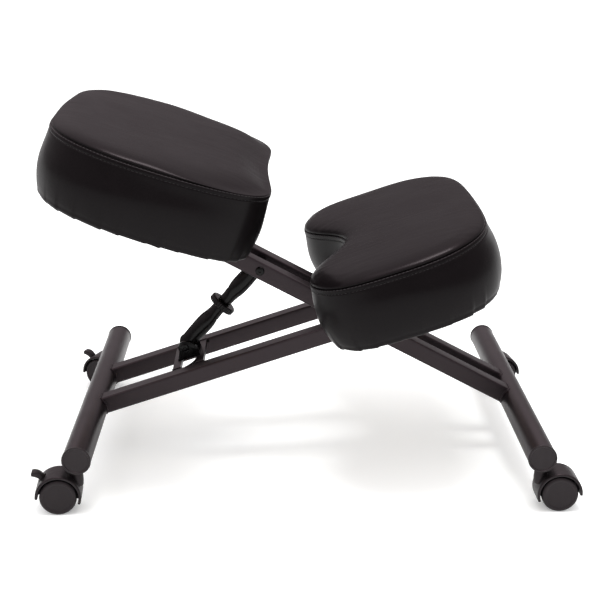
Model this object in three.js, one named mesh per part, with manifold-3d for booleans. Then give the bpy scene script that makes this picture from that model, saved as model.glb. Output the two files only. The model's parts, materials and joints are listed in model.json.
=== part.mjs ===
// A kneeling chair on casters: two crossing tube frames, a seat cushion, a knee cushion
// and a hand-turned screw that sets the angle between the frames.
// Millimetres, +Z up. The seat is on the -X side, the knee cushion on the +X side.

import * as THREE from 'three';
import { mergeVertices } from 'three/addons/utils/BufferGeometryUtils.js';
import Module from 'manifold-3d';

const wasm = await Module();
wasm.setup();

// ---------------------------------------------------------------- driving dimensions

const GAP = 0.3;                 // air kept between pieces that touch
const DEG = Math.PI / 180;
const CENTRE_SHIFT = [0.988, -7.044]; // puts the middle of the chair's box over the origin

const BAR_RADIUS = 19;           // floor crossbars: 38 mm round tube
const BAR_WALL = 1.5;
const BAR_HALF_LENGTH = 245;     // over the end caps
const BAR_X = 310;               // half the distance between the crossbars
const CAP_THICKNESS = 3;
const CAP_RADIUS = 19.6;
const CAP_PLUG = 12;

const RAIL = 25;                 // rails: 25 mm square tube
const RAIL_WALL = 1.5;
const RAIL_CORNER = 2.5;
const OUTER_Y = 59;              // centre planes of the rail pairs
const INNER_Y = 30;
const OUTER_SLOPE = 18.57 * DEG; // rises towards +X and carries the knee cushion
const INNER_SLOPE = 28.06 * DEG; // rises towards -X and carries the seat
const OUTER_LENGTH = 566;
const INNER_STRAIGHT = 582;      // from the crossbar's axis to the bend under the seat
const INNER_TOP = 118;           // from the bend to the end

const SEAT_TILT = 17 * DEG;      // front edge lower
const SEAT_SIDE = 93;            // underside to seam
const SEAT_CROWN = 13;           // seam to the middle of the top
const SEAT_FRONT_DROP = 7.5;     // the soft edge of the crown sits lower along the front
const KNEE_SIDE = 89;
const KNEE_CROWN = 13;
const SIDE_BULGE = 0.018;        // how far the sides swell, as a share of the outline
const KNEE_DROOP = 3;            // the knee cushion's rim hangs below its board
const BOARD = 12;
const OUTLINE_STEPS = 42;
const STRAP = 3;
const STRAP_WIDTH = 30;
const STRAP_LENGTH = 190;
const SCREW_Y = 80;
const SCREW_BORE = 3;

const PIVOT_RADIUS = 5;
const PIN_RADIUS = 4;
const UPPER_PIN_REACH = 156.6;   // main pivot to upper pin, along the inner rail
const LOWER_PIN_REACH = 254;     // main pivot to the foot of the lower pin, along the outer rail
const LOWER_PIN_RISE = 18;       // lower pin above the outer rails' top face
const EAR_INSIDE = 14.6;
const EAR = 3.5;
const EAR_REAR = -16;            // the channel's ends, along the rail from the lower pin
const EAR_FRONT = 18.5;

const YOKE_RADIUS = 13.3;
const NECK_RADIUS = 9.9;
const YOKE_SLOT = 11;
const YOKE_SLOT_END = 62;        // pin to the blind end of the slot
const CROSS_STRIP = 5;           // thickness of the bracket's cross strips
const YOKE_NOSE = 9.5;           // pin to the yoke's rounded end
const STUD_RADIUS = 5;
const STUD_INSET = 16;           // pin to the stud's end when closed
const UPPER_BORE = 7;            // wide enough for the stud to wander while the screw extends
const KNOB_RADIUS = 20.5;
const KNOB_THICKNESS = 9.5;

const WHEEL_RADIUS = 25;
const CASTER_HALF_WIDTH = 19;
const CASTER_Y = 220.5;
const STEM_OUT = 4;              // stems stand this far outside the crossbars' centre lines
const TRAIL = 25;                // swivel axis to axle
const HOOD_INNER = 27.3;
const HOOD_OUTER = 31;
const WEB_HALF = 3.2;            // half the thickness of the hood's middle web
const WHEEL_INSIDE = 3.8;        // inner face of each wheel, from the hood's middle
const AXLE_RADIUS = 3;
const AXLE_HALF = 16;
const TOWER_RADIUS = 8;
const TOWER_BOTTOM = 36;
const STEM_RADIUS = 5;
const STEM_TIP_RADIUS = 4;
const STEM_BOTTOM = 42;

const LEVER_ANGLE = 46 * DEG;    // the brake lever's pivot on the hood, above the axle
const LEVER_PIVOT_RADIUS = 29.2;
const LEVER_HALF_WIDTH = 6;
const TRUNNION = 1.2;

const BAR_Z = WHEEL_RADIUS * 2 + 12.4 + BAR_RADIUS;
const CUSHION_OFFSET = RAIL / 2 + GAP + STRAP + GAP; // rail centre line to cushion underside

// ---------------------------------------------------------------- materials

const material = (color, roughness, metalness) =>
  new THREE.MeshStandardMaterial({ color, roughness, metalness });
const paint = () => material(0x3a3436, 0.42, 0.5);
const leather = () => material(0x201d1e, 0.5, 0);
const plastic = () => material(0x2c2a2b, 0.55, 0);
const blackSteel = () => material(0x121213, 0.35, 0.6);
const zinc = () => material(0x8d8f92, 0.35, 0.9);
const wood = () => material(0xa8855a, 0.8, 0);

// ---------------------------------------------------------------- solids

function signedVolume(geometry) {
  const p = geometry.getAttribute('position');
  const index = geometry.getIndex();
  const a = new THREE.Vector3();
  const b = new THREE.Vector3();
  const c = new THREE.Vector3();
  let volume = 0;
  for (let i = 0; i < index.count; i += 3) {
    a.fromBufferAttribute(p, index.getX(i));
    b.fromBufferAttribute(p, index.getX(i + 1));
    c.fromBufferAttribute(p, index.getX(i + 2));
    volume += a.dot(b.cross(c)) / 6;
  }
  return volume;
}

// One welded mesh with its faces pointing out.
function closed(geometry) {
  const bare = geometry.clone();
  bare.deleteAttribute('normal');
  bare.deleteAttribute('uv');
  const welded = mergeVertices(bare, 1e-4);
  if (signedVolume(welded) < 0) {
    const index = welded.getIndex();
    for (let i = 0; i < index.count; i += 3) {
      const keep = index.getX(i);
      index.setX(i, index.getX(i + 2));
      index.setX(i + 2, keep);
    }
  }
  return welded;
}

function solid(geometry) {
  const welded = closed(geometry);
  return new wasm.Manifold(new wasm.Mesh({
    numProp: 3,
    vertProperties: new Float32Array(welded.getAttribute('position').array),
    triVerts: new Uint32Array(welded.getIndex().array),
  }));
}

function geometryOf(manifold) {
  const mesh = manifold.getMesh();
  const geometry = new THREE.BufferGeometry();
  geometry.setAttribute('position', new THREE.BufferAttribute(new Float32Array(mesh.vertProperties), 3));
  geometry.setIndex(new THREE.BufferAttribute(new Uint32Array(mesh.triVerts), 1));
  return geometry;
}

function join(first, ...others) {
  return geometryOf(others.reduce((sum, next) => sum.add(solid(next)), solid(first)));
}

function cut(body, ...tools) {
  return geometryOf(tools.reduce((rest, tool) => rest.subtract(solid(tool)), solid(body)));
}

function box(x0, x1, y0, y1, z0, z1) {
  return new THREE.BoxGeometry(x1 - x0, y1 - y0, z1 - z0)
    .translate((x0 + x1) / 2, (y0 + y1) / 2, (z0 + z1) / 2);
}

// A cylinder along Y between y0 and y1.
function rodY(radius, y0, y1, x = 0, z = 0, sides = 24) {
  return new THREE.CylinderGeometry(radius, radius, y1 - y0, sides).translate(x, (y0 + y1) / 2, z);
}

// A cylinder along Z between z0 and z1.
function rodZ(radius, z0, z1, x = 0, y = 0, sides = 24) {
  return new THREE.CylinderGeometry(radius, radius, z1 - z0, sides)
    .rotateX(Math.PI / 2)
    .translate(x, y, (z0 + z1) / 2);
}

// Turns a profile of [radius, height] points about Z.
function turned(profile, sides = 24) {
  const points = profile.map(([radius, height]) => new THREE.Vector2(radius, height));
  return new THREE.LatheGeometry(points, sides).rotateX(Math.PI / 2);
}

function ring(outer, inner, z0, z1, sides = 24) {
  return turned([[inner, z0], [outer, z0], [outer, z1], [inner, z1], [inner, z0]], sides);
}

// Extrudes an outline drawn in the XZ plane between y0 and y1.
function slabY(shape, y0, y1, curveSegments = 12) {
  return new THREE.ExtrudeGeometry(shape, { depth: y1 - y0, bevelEnabled: false, curveSegments })
    .rotateX(Math.PI / 2)
    .translate(0, y1, 0);
}

function polygon(points) {
  return new THREE.Shape(points.map(([x, z]) => new THREE.Vector2(x, z)));
}

// Skins a list of rings with equal point counts; the first and last ring close to their middle.
function loft(rings) {
  const count = rings[0].length;
  const points = rings.flat();
  const middle = (loop) => loop.reduce((sum, p) => sum.add(p), new THREE.Vector3()).divideScalar(count);
  const bottom = points.push(middle(rings[0])) - 1;
  const top = points.push(middle(rings[rings.length - 1])) - 1;
  const lastRow = (rings.length - 1) * count;
  const faces = [];
  for (let i = 0; i < count; i++) {
    const j = (i + 1) % count;
    faces.push(bottom, j, i);
    faces.push(top, lastRow + i, lastRow + j);
    for (let row = 0; row < rings.length - 1; row++) {
      const a = row * count;
      const b = a + count;
      faces.push(a + i, a + j, b + j, a + i, b + j, b + i);
    }
  }
  return new THREE.BufferGeometry().setFromPoints(points).setIndex(faces);
}

// ---------------------------------------------------------------- square tube

function roundedSquare(size, corner) {
  const half = size / 2 - corner;
  const steps = 2;
  const points = [];
  for (let quarter = 0; quarter < 4; quarter++) {
    const middle = (quarter + 0.5) * Math.PI / 2;
    const cx = Math.sign(Math.cos(middle)) * half;
    const cy = Math.sign(Math.sin(middle)) * half;
    for (let i = 0; i <= steps; i++) {
      const angle = (quarter + i / steps) * Math.PI / 2;
      points.push([cx + corner * Math.cos(angle), cy + corner * Math.sin(angle)]);
    }
  }
  return points;
}

// A hollow square tube along a path of [x, z] points, mitred where the path turns.
function squareTube(path) {
  const stations = path.map(([x, z]) => new THREE.Vector2(x, z));
  const normalOf = (a, b) => b.clone().sub(a).normalize().rotateAround(new THREE.Vector2(), Math.PI / 2);
  const loopAt = (section, i) => {
    const before = normalOf(stations[Math.max(i - 1, 0)], stations[Math.max(i, 1)]);
    const last = stations.length - 1;
    const after = normalOf(stations[Math.min(i, last - 1)], stations[Math.min(i + 1, last)]);
    const mitre = before.clone().add(after).normalize();
    const stretch = 1 / mitre.dot(before);
    return section.map(([a, b]) => new THREE.Vector3(
      stations[i].x + mitre.x * b * stretch, a, stations[i].y + mitre.y * b * stretch));
  };
  const outer = roundedSquare(RAIL, RAIL_CORNER);
  const inner = roundedSquare(RAIL - 2 * RAIL_WALL, RAIL_CORNER - RAIL_WALL);
  const outward = stations.map((_, i) => loopAt(outer, i));
  const inward = stations.map((_, i) => loopAt(inner, i)).reverse();
  const loops = [...outward, ...inward];
  const count = outer.length;
  const faces = [];
  loops.forEach((_, row) => {
    const a = row * count;
    const b = ((row + 1) % loops.length) * count;
    for (let i = 0; i < count; i++) {
      const j = (i + 1) % count;
      faces.push(a + i, a + j, b + j, a + i, b + j, b + i);
    }
  });
  return closed(new THREE.BufferGeometry().setFromPoints(loops.flat()).setIndex(faces));
}

// ---------------------------------------------------------------- assembly helpers

const chair = new THREE.Group();
chair.position.set(...CENTRE_SHIFT, 0);

function group(parent, x, y, z) {
  const child = new THREE.Group();
  child.position.set(x, y, z);
  parent.add(child);
  return child;
}

function piece(parent, name, geometry, look, x = 0, y = 0, z = 0) {
  const mesh = new THREE.Mesh(closed(geometry), look);
  mesh.name = name;
  mesh.position.set(x, y, z);
  parent.add(mesh);
  return mesh;
}

const sides = [['near', -1], ['far', 1]];

// ---------------------------------------------------------------- key points in the XZ plane

const outerStart = new THREE.Vector2(-BAR_X, BAR_Z);
const innerStart = new THREE.Vector2(BAR_X, BAR_Z);
const outerWay = new THREE.Vector2(Math.cos(OUTER_SLOPE), Math.sin(OUTER_SLOPE));
const outerUp = new THREE.Vector2(-outerWay.y, outerWay.x);
const innerWay = new THREE.Vector2(-Math.cos(INNER_SLOPE), Math.sin(INNER_SLOPE));
const seatWay = new THREE.Vector2(-Math.cos(SEAT_TILT), Math.sin(SEAT_TILT));
const seatUp = new THREE.Vector2(Math.sin(SEAT_TILT), Math.cos(SEAT_TILT));

const along = (start, way, distance) => start.clone().addScaledVector(way, distance);

// The two rail pairs cross where their centre lines meet.
const crossing = 2 * BAR_X * Math.sin(INNER_SLOPE) / Math.sin(INNER_SLOPE + OUTER_SLOPE);
const mainPivot = along(outerStart, outerWay, crossing);
const lowerFoot = along(mainPivot, outerWay, -LOWER_PIN_REACH);
const lowerPin = along(lowerFoot, outerUp, RAIL / 2 + LOWER_PIN_RISE);
const upperPin = along(mainPivot, innerWay, UPPER_PIN_REACH);
const bend = along(innerStart, innerWay, INNER_STRAIGHT);

// ---------------------------------------------------------------- floor crossbars

function crossbar(stemX) {
  const tube = ring(BAR_RADIUS, BAR_RADIUS - BAR_WALL, -1, 1, 28)
    .scale(1, 1, BAR_HALF_LENGTH - CAP_THICKNESS - GAP)
    .rotateX(Math.PI / 2);
  const stemHoles = [-CASTER_Y, CASTER_Y].map((y) =>
    rodZ(STEM_RADIUS + GAP, -BAR_RADIUS - 2, -BAR_RADIUS / 2, stemX, y, 16));
  return cut(tube, ...stemHoles);
}

function endCap() {
  const plug = BAR_RADIUS - BAR_WALL - GAP;
  return turned([
    [0, -CAP_PLUG], [plug, -CAP_PLUG], [plug, 0],
    [CAP_RADIUS, 0], [CAP_RADIUS, CAP_THICKNESS - 1.2], [CAP_RADIUS - 1.2, CAP_THICKNESS], [0, CAP_THICKNESS],
  ]);
}

function addCrossbar(name, x) {
  const bar = group(chair, x, 0, BAR_Z);
  piece(bar, `${name}_crossbar`, crossbar(Math.sign(x) * STEM_OUT), paint());
  for (const [side, sign] of sides) {
    const cap = piece(bar, `${name}_${side}_end_cap`, endCap(), plastic(),
      0, sign * (BAR_HALF_LENGTH - CAP_THICKNESS), 0);
    cap.rotation.x = -sign * Math.PI / 2;
  }
}

// ---------------------------------------------------------------- rails

// Each rail's own frame has its origin at the main pivot.
function railGeometry(path, barCentre, holes) {
  const fromPivot = ([x, z]) => [x - mainPivot.x, z - mainPivot.y];
  const tube = squareTube(path.map((p) => fromPivot(p.toArray())));
  const [bx, bz] = fromPivot(barCentre.toArray());
  const cope = rodY(BAR_RADIUS + GAP, -RAIL, RAIL, bx, bz, 28);
  const bores = holes.map(([p, radius]) => {
    const [x, z] = fromPivot(p.toArray());
    return rodY(radius + GAP, -RAIL, RAIL, x, z, 16);
  });
  return cut(tube, cope, ...bores);
}

function addRails() {
  const start = 6;
  const outerPath = [along(outerStart, outerWay, start), along(outerStart, outerWay, OUTER_LENGTH)];
  const innerPath = [along(innerStart, innerWay, start), bend, along(bend, seatWay, INNER_TOP)];
  const outerRail = railGeometry(outerPath, outerStart, [[mainPivot, PIVOT_RADIUS]]);
  const innerRail = railGeometry(innerPath, innerStart, [[mainPivot, PIVOT_RADIUS], [upperPin, PIN_RADIUS]]);
  for (const [side, sign] of sides) {
    piece(chair, `outer_rail_${side}`, outerRail, paint(), mainPivot.x, sign * OUTER_Y, mainPivot.y);
    piece(chair, `inner_rail_${side}`, innerRail, paint(), mainPivot.x, sign * INNER_Y, mainPivot.y);
  }
}

// ---------------------------------------------------------------- main pivot

function addMainPivot() {
  const pivot = group(chair, mainPivot.x, 0, mainPivot.y);
  const reach = OUTER_Y + RAIL / 2 + GAP;
  const headHeight = 6;
  const nutHeight = 8;
  const head = rodY(8.8, -reach - headHeight, -reach, 0, 0, 6);
  const shank = rodY(PIVOT_RADIUS, -reach - 1, reach + nutHeight + 2, 0, 0, 16);
  piece(pivot, 'main_pivot_bolt', join(head, shank), zinc());
  const nut = cut(rodY(9.2, reach, reach + nutHeight, 0, 0, 6),
    rodY(PIVOT_RADIUS + GAP, reach - 1, reach + nutHeight + 1, 0, 0, 16));
  piece(pivot, 'main_pivot_nut', nut, zinc());
  const washerGap = [INNER_Y + RAIL / 2 + GAP, OUTER_Y - RAIL / 2 - GAP];
  for (const [side, sign] of sides) {
    const washer = ring(10, PIVOT_RADIUS + GAP, washerGap[0], washerGap[1], 16).rotateX(-sign * Math.PI / 2);
    piece(pivot, `rail_washer_${side}`, washer, plastic());
  }
  const sleeveHalf = INNER_Y - RAIL / 2 - GAP;
  const sleeve = ring(8, PIVOT_RADIUS + GAP, -sleeveHalf, sleeveHalf, 16).rotateX(Math.PI / 2);
  piece(pivot, 'pivot_sleeve', sleeve, zinc());
}

// ---------------------------------------------------------------- angle adjuster

// A flat foot that flares from the channel out to one rail.
function bracketFoot(sign, inside, outside) {
  const foot = new THREE.Shape();
  foot.moveTo(EAR_FRONT - 8, sign * (inside - 2));
  foot.lineTo(EAR_FRONT, sign * (inside - 2));
  foot.quadraticCurveTo(EAR_FRONT + 2, sign * (outside - 8), EAR_FRONT + 9, sign * outside);
  foot.lineTo(EAR_REAR + 6, sign * outside);
  foot.quadraticCurveTo(EAR_FRONT - 8, sign * (outside - 10), EAR_FRONT - 8, sign * (inside - 2));
  return new THREE.ExtrudeGeometry(foot, { depth: 4, bevelEnabled: false, curveSegments: 6 })
    .translate(0, 0, -CROSS_STRIP - 0.5);
}

// In the rail's own frame: X along the rail from the lower pin's foot, Z up from the rails' top face.
function bracket() {
  const reach = OUTER_Y - RAIL / 2 - GAP;
  const earOutside = EAR_INSIDE + EAR;
  const rearStrap = box(EAR_REAR - 7, EAR_REAR + 5, -reach, reach, -CROSS_STRIP, 0.4);
  const frontStrap = box(EAR_FRONT - 6, EAR_FRONT + 6, -reach, reach, -CROSS_STRIP, 0.4);
  const web = box(EAR_REAR, EAR_FRONT, -earOutside, earOutside, 0, EAR);
  const feet = [-1, 1].map((sign) => bracketFoot(sign, earOutside, reach));
  const ear = new THREE.Shape();
  ear.moveTo(EAR_REAR, 0.2);
  ear.lineTo(EAR_FRONT, 0.2);
  ear.lineTo(EAR_FRONT, 10);
  ear.quadraticCurveTo(EAR_FRONT - 1.5, 22, 4, LOWER_PIN_RISE + 8.7);
  ear.absarc(0, LOWER_PIN_RISE, 9.6, 65 * DEG, 195 * DEG, false);
  const pinHole = rodY(PIN_RADIUS + GAP, -earOutside - 1, earOutside + 1, 0, LOWER_PIN_RISE, 16);
  return cut(join(rearStrap, frontStrap, web, ...feet,
    slabY(ear, -earOutside, -EAR_INSIDE, 6), slabY(ear, EAR_INSIDE, earOutside, 6)), pinHole);
}

// A pin along Y with a domed head at each end.
function rivet(halfGrip) {
  const head = 6.5;
  const half = [
    [PIN_RADIUS, halfGrip + GAP], [head, halfGrip + GAP], [head, halfGrip + 1.5], [head - 2, halfGrip + 2.6],
    [0, halfGrip + 3],
  ];
  const otherHalf = half.map(([r, z]) => [r, -z]).reverse();
  return turned([...otherHalf, ...half], 16).rotateX(Math.PI / 2);
}

// A forked yoke along Z: the pin is at the origin and the neck faces the knob.
function yoke(neckEnd, boreRadius, eyeHalf) {
  const body = turned([
    [0, -YOKE_NOSE], [6, -YOKE_NOSE + 1], [10, -4.5], [YOKE_RADIUS - 1.3, 6],
    [YOKE_RADIUS, YOKE_SLOT_END - 24], [YOKE_RADIUS, YOKE_SLOT_END - 15],
    [YOKE_RADIUS - 0.9, YOKE_SLOT_END - 7], [NECK_RADIUS + 0.6, YOKE_SLOT_END + 1],
    [NECK_RADIUS, YOKE_SLOT_END + 7], [NECK_RADIUS, neckEnd], [0, neckEnd],
  ], 20);
  const eye = rodY(8, -eyeHalf, eyeHalf, 0, 0, 20);
  const slotHalf = YOKE_SLOT / 2;
  const slot = box(-20, 20, -slotHalf, slotHalf, -20, YOKE_SLOT_END);
  const bore = rodZ(boreRadius, YOKE_SLOT_END - 5, neckEnd + 1, 0, 0, 20);
  const pinHole = rodY(PIN_RADIUS + GAP, -eyeHalf - 1, eyeHalf + 1, 0, 0, 16);
  return cut(join(body, eye), slot, bore, pinHole);
}

function knob() {
  const half = KNOB_THICKNESS / 2;
  const body = turned([
    [STUD_RADIUS + GAP, -half], [KNOB_RADIUS - 1.5, -half], [KNOB_RADIUS, -half + 1.5],
    [KNOB_RADIUS, half - 1.5], [KNOB_RADIUS - 1.5, half],
    [STUD_RADIUS + GAP, half], [STUD_RADIUS + GAP, -half],
  ]);
  return body;
}

function addAdjuster() {
  const saddle = piece(chair, 'adjuster_bracket', bracket(), paint());
  const foot = along(lowerFoot, outerUp, RAIL / 2);
  saddle.position.set(foot.x, 0, foot.y);
  saddle.rotation.y = -OUTER_SLOPE;

  const earOutside = EAR_INSIDE + EAR;
  const railOutside = INNER_Y + RAIL / 2;
  piece(chair, 'lower_pivot_pin', rivet(earOutside), blackSteel(), lowerPin.x, 0, lowerPin.y);
  piece(chair, 'upper_pivot_pin', rivet(railOutside), blackSteel(), upperPin.x, 0, upperPin.y);

  // The screw's own frame: origin at the lower pin, +Z along the screw.
  const way = upperPin.clone().sub(lowerPin);
  const length = way.length();
  const screw = group(chair, lowerPin.x, 0, lowerPin.y);
  screw.rotation.y = Math.atan2(way.x, way.y);
  const middle = length / 2;
  const neckEnd = middle - KNOB_THICKNESS / 2 - GAP;
  const lowerYoke = yoke(neckEnd, STUD_RADIUS + GAP, EAR_INSIDE - GAP);
  const upperYoke = yoke(neckEnd, UPPER_BORE, INNER_Y - RAIL / 2 - GAP);
  piece(screw, 'adjuster_lower_yoke', lowerYoke, blackSteel());
  const upper = piece(screw, 'adjuster_upper_yoke', upperYoke, blackSteel(), 0, 0, length);
  upper.rotation.x = Math.PI;
  piece(screw, 'adjuster_stud', rodZ(STUD_RADIUS, STUD_INSET - middle, middle - STUD_INSET, 0, 0, 20), zinc(),
    0, 0, middle);
  piece(screw, 'adjuster_knob', knob(), blackSteel(), 0, 0, middle);
}

// ---------------------------------------------------------------- cushions

// Half outlines in plan, [forward, sideways], from the rear middle to the front middle.
const seatHalf = [
  [-153, 0], [-151, 70], [-145, 138], [-122, 184], [-84, 212], [-37, 227], [12, 231],
  [60, 228], [102, 218], [132, 199], [149, 171], [153, 138], [150, 70],
];
// The knee cushion's notch is a cosine dip between its two lobes.
const NOTCH_DEPTH = 60;
const NOTCH_HALF = 141;
const LOBE_TIP = -125;

function kneeOutline() {
  const notch = [0, 21, 48, 78, 105].map((y) =>
    [LOBE_TIP + NOTCH_DEPTH * (1 + Math.cos(Math.PI * y / NOTCH_HALF)) / 2, y]);
  const lobe = [
    [LOBE_TIP + 0.5, 134], [-124, 158], [-115, 183], [-98, 205], [-70, 218], [-22, 222.5], [30, 221.5],
    [66, 211], [96, 189], [115, 160], [125, 122], [129, 67],
  ];
  return mirrored([...notch, ...lobe], [130, 0]);
}

function seatOutline() {
  return mirrored(seatHalf, [148, 0]);
}

// Closes a half outline with its mirror image and smooths it.
function mirrored(half, end) {
  const back = half.slice(1).reverse().map(([x, y]) => [x, -y]);
  const points = [...half, end, ...back].map(([x, y]) => new THREE.Vector3(x, y, 0));
  const curve = new THREE.CatmullRomCurve3(points, true, 'centripetal');
  return curve.getSpacedPoints(OUTLINE_STEPS).slice(0, -1);
}

function layer(outline, scale, height, frontDrop = 0) {
  return outline.map((p) => {
    const forward = THREE.MathUtils.smoothstep(p.x, -40, 120);
    return new THREE.Vector3(p.x * scale, p.y * scale, height - frontDrop * forward);
  });
}

// The cushion is open underneath for the board that its cover is stapled to.
function cushion(outline, { side, crown, frontDrop, droop }) {
  const pocket = BOARD + GAP;
  const top = side + crown;
  return loft([
    layer(outline, 0.9, pocket), layer(outline, 0.945, pocket), layer(outline, 0.945, -droop),
    layer(outline, 0.975, -droop), layer(outline, 0.995, 8 - droop),
    layer(outline, 1 + SIDE_BULGE, side * 0.38), layer(outline, 1 + SIDE_BULGE, side * 0.6),
    layer(outline, 1, side),
    layer(outline, 0.965, side + crown * 0.54, frontDrop), layer(outline, 0.86, top - 2.5, frontDrop * 0.8),
    layer(outline, 0.6, top),
  ]);
}

function board(outline, holes) {
  const plate = loft([
    layer(outline, 0.5, 0), layer(outline, 0.938, 0),
    layer(outline, 0.938, BOARD), layer(outline, 0.5, BOARD),
  ]);
  const bores = holes.map(([x, y]) => rodZ(SCREW_BORE + GAP, -1, BOARD - 1.5, x, y, 12));
  return cut(plate, ...bores);
}

function strap(screwYs) {
  const half = STRAP_WIDTH / 2;
  const plate = box(-half, half, -STRAP_LENGTH / 2, STRAP_LENGTH / 2, -STRAP, 0);
  return cut(plate, ...screwYs.map((y) => rodZ(SCREW_BORE + GAP, -STRAP - 1, 1, 0, y, 12)));
}

// The seat's front support: an upturned channel whose legs reach the steeper rails.
function channel(screwYs, legAt) {
  const half = STRAP_WIDTH / 2;
  const outline = polygon([
    [-half, 0], [-half, legAt(-half)], [-half + STRAP, legAt(-half + STRAP)], [-half + STRAP, -STRAP],
    [half - STRAP, -STRAP], [half - STRAP, legAt(half - STRAP)], [half, legAt(half)], [half, 0],
  ]);
  const profile = slabY(outline, -STRAP_LENGTH / 2, STRAP_LENGTH / 2);
  return cut(profile, ...screwYs.map((y) => rodZ(SCREW_BORE + GAP, -STRAP - 1, 1, 0, y, 12)));
}

// A pan-headed screw that enters from below; its head bears on the strap at height zero.
function screw() {
  return turned([
    [0, -3.5], [3, -3.5], [5.2, -2.2], [5.6, -GAP],
    [SCREW_BORE, -GAP], [SCREW_BORE, BOARD - 3], [0, BOARD - 3],
  ], 10);
}

// A cushion with its board, two supports and their screws; the frame's origin is on the underside.
function addCushion(name, origin, tilt, outline, shape, supports) {
  const pad = group(chair, origin.x, 0, origin.y);
  pad.rotation.y = tilt;
  const screwYs = [-SCREW_Y, SCREW_Y];
  const holes = supports.flatMap(({ x }) => screwYs.map((y) => [x, y]));
  piece(pad, `${name}_cushion`, cushion(outline, shape), leather());
  piece(pad, `${name}_board`, board(outline, holes), wood());
  for (const support of supports) {
    piece(pad, `${name}_${support.label}`, support.make(screwYs), paint(), support.x, 0, -GAP);
    screwYs.forEach((y, i) => {
      piece(pad, `${name}_${support.end}_screw_${sides[i][0]}`, screw(), zinc(), support.x, y, -GAP - STRAP);
    });
  }
}

function addCushions() {
  // Seat: its underside runs parallel to the inner rails' bent ends.
  // The rails fall away ahead of the bend.
  const bendAhead = 27.4;
  const frontSupport = 68;
  const seatOrigin = along(along(bend, seatWay, bendAhead), seatUp, CUSHION_OFFSET);
  const turn = INNER_SLOPE - SEAT_TILT;
  const railTop = (x) => -CUSHION_OFFSET + RAIL / 2 / Math.cos(turn) - Math.tan(turn) * (x - bendAhead);
  const legAt = (x) => railTop(frontSupport + x) + 2 * GAP;
  const seatShape = { side: SEAT_SIDE, crown: SEAT_CROWN, frontDrop: SEAT_FRONT_DROP, droop: 0 };
  addCushion('seat', seatOrigin, SEAT_TILT, seatOutline(), seatShape, [
    { label: 'rear_strap', end: 'rear', x: -70, make: strap },
    { label: 'front_channel', end: 'front', x: frontSupport, make: (ys) => channel(ys, legAt) },
  ]);

  // Knee cushion: its underside runs parallel to the outer rails.
  const kneeDistance = 488.2;
  const kneeOrigin = along(along(outerStart, outerWay, kneeDistance), outerUp, CUSHION_OFFSET);
  const kneeShape = { side: KNEE_SIDE, crown: KNEE_CROWN, frontDrop: 0, droop: KNEE_DROOP };
  addCushion('knee', kneeOrigin, -OUTER_SLOPE, kneeOutline(), kneeShape, [
    { label: 'rear_strap', end: 'rear', x: -42, make: strap },
    { label: 'front_strap', end: 'front', x: 50, make: strap },
  ]);
}

// ---------------------------------------------------------------- casters

// A caster's own frame: origin on the floor under the swivel axis, +X towards the axle.
function hood(withLever) {
  const profile = new THREE.Shape();
  profile.absarc(TRAIL, WHEEL_RADIUS, HOOD_OUTER, -2 * DEG, 200 * DEG, false);
  profile.absarc(TRAIL, WHEEL_RADIUS, 8, 215 * DEG, 350 * DEG, false);
  const body = join(
    slabY(profile, -CASTER_HALF_WIDTH, CASTER_HALF_WIDTH, 20),
    rodZ(TOWER_RADIUS, TOWER_BOTTOM, BAR_Z - BAR_RADIUS - 2.8, 0, 0, 20));
  const cavities = [-1, 1].map((sign) => {
    const [y0, y1] = [WEB_HALF, CASTER_HALF_WIDTH + 1].map((y) => sign * y).sort((a, b) => a - b);
    return rodY(HOOD_INNER, y0, y1, TRAIL, WHEEL_RADIUS, 30);
  });
  const stemBore = rodZ(STEM_TIP_RADIUS + GAP, STEM_BOTTOM - GAP, BAR_Z, 0, 0, 16);
  const axleHole = rodY(AXLE_RADIUS + GAP, -6, 6, TRAIL, WHEEL_RADIUS, 16);
  const tools = [...cavities, stemBore, axleHole];
  if (withLever) tools.push(...leverRoom());
  return cut(body, ...tools);
}

const leverPivot = new THREE.Vector2(
  TRAIL + LEVER_PIVOT_RADIUS * Math.cos(LEVER_ANGLE),
  WHEEL_RADIUS + LEVER_PIVOT_RADIUS * Math.sin(LEVER_ANGLE));

// The slot and trunnion bores that a brake lever needs in its hood.
function leverRoom() {
  const half = LEVER_HALF_WIDTH + 0.4;
  const slot = box(-6.4, 6.4, -half, half, -5, 6)
    .rotateY(Math.PI / 2 - LEVER_ANGLE)
    .translate(leverPivot.x, 0, leverPivot.y);
  const bores = rodY(TRUNNION + GAP, -half - 2.4, half + 2.4, leverPivot.x, leverPivot.y, 12);
  return [slot, bores];
}

// A brake lever about its pivot: a bent thumb tab outside and a thin foot over the wheels inside.
function brakeLever() {
  const tab = new THREE.Shape();
  tab.moveTo(-3.6, -0.4);
  tab.lineTo(0.6, -3.4);
  tab.quadraticCurveTo(4.5, 4.5, 14.5, 6);
  tab.lineTo(14, 12);
  tab.quadraticCurveTo(2, 14, -3.6, -0.4);
  const foot = new THREE.Shape();
  const [inner, outer] = [WHEEL_RADIUS + 1.1, WHEEL_RADIUS + 2];
  const [from, to] = [LEVER_ANGLE - 11 * DEG, LEVER_ANGLE + 3 * DEG];
  const [cx, cz] = [TRAIL - leverPivot.x, WHEEL_RADIUS - leverPivot.y];
  foot.absarc(cx, cz, outer, from, to, false);
  foot.absarc(cx, cz, inner, to, from, true);
  const neck = box(-1.6, 1.6, -LEVER_HALF_WIDTH, LEVER_HALF_WIDTH, -2.7, 1)
    .rotateY(Math.PI / 2 - LEVER_ANGLE);
  const trunnions = rodY(TRUNNION, -LEVER_HALF_WIDTH - 2, LEVER_HALF_WIDTH + 2, 0, 0, 12);
  return join(slabY(tab, -LEVER_HALF_WIDTH, LEVER_HALF_WIDTH, 6),
    slabY(foot, -LEVER_HALF_WIDTH, LEVER_HALF_WIDTH, 4), neck, trunnions);
}

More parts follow.
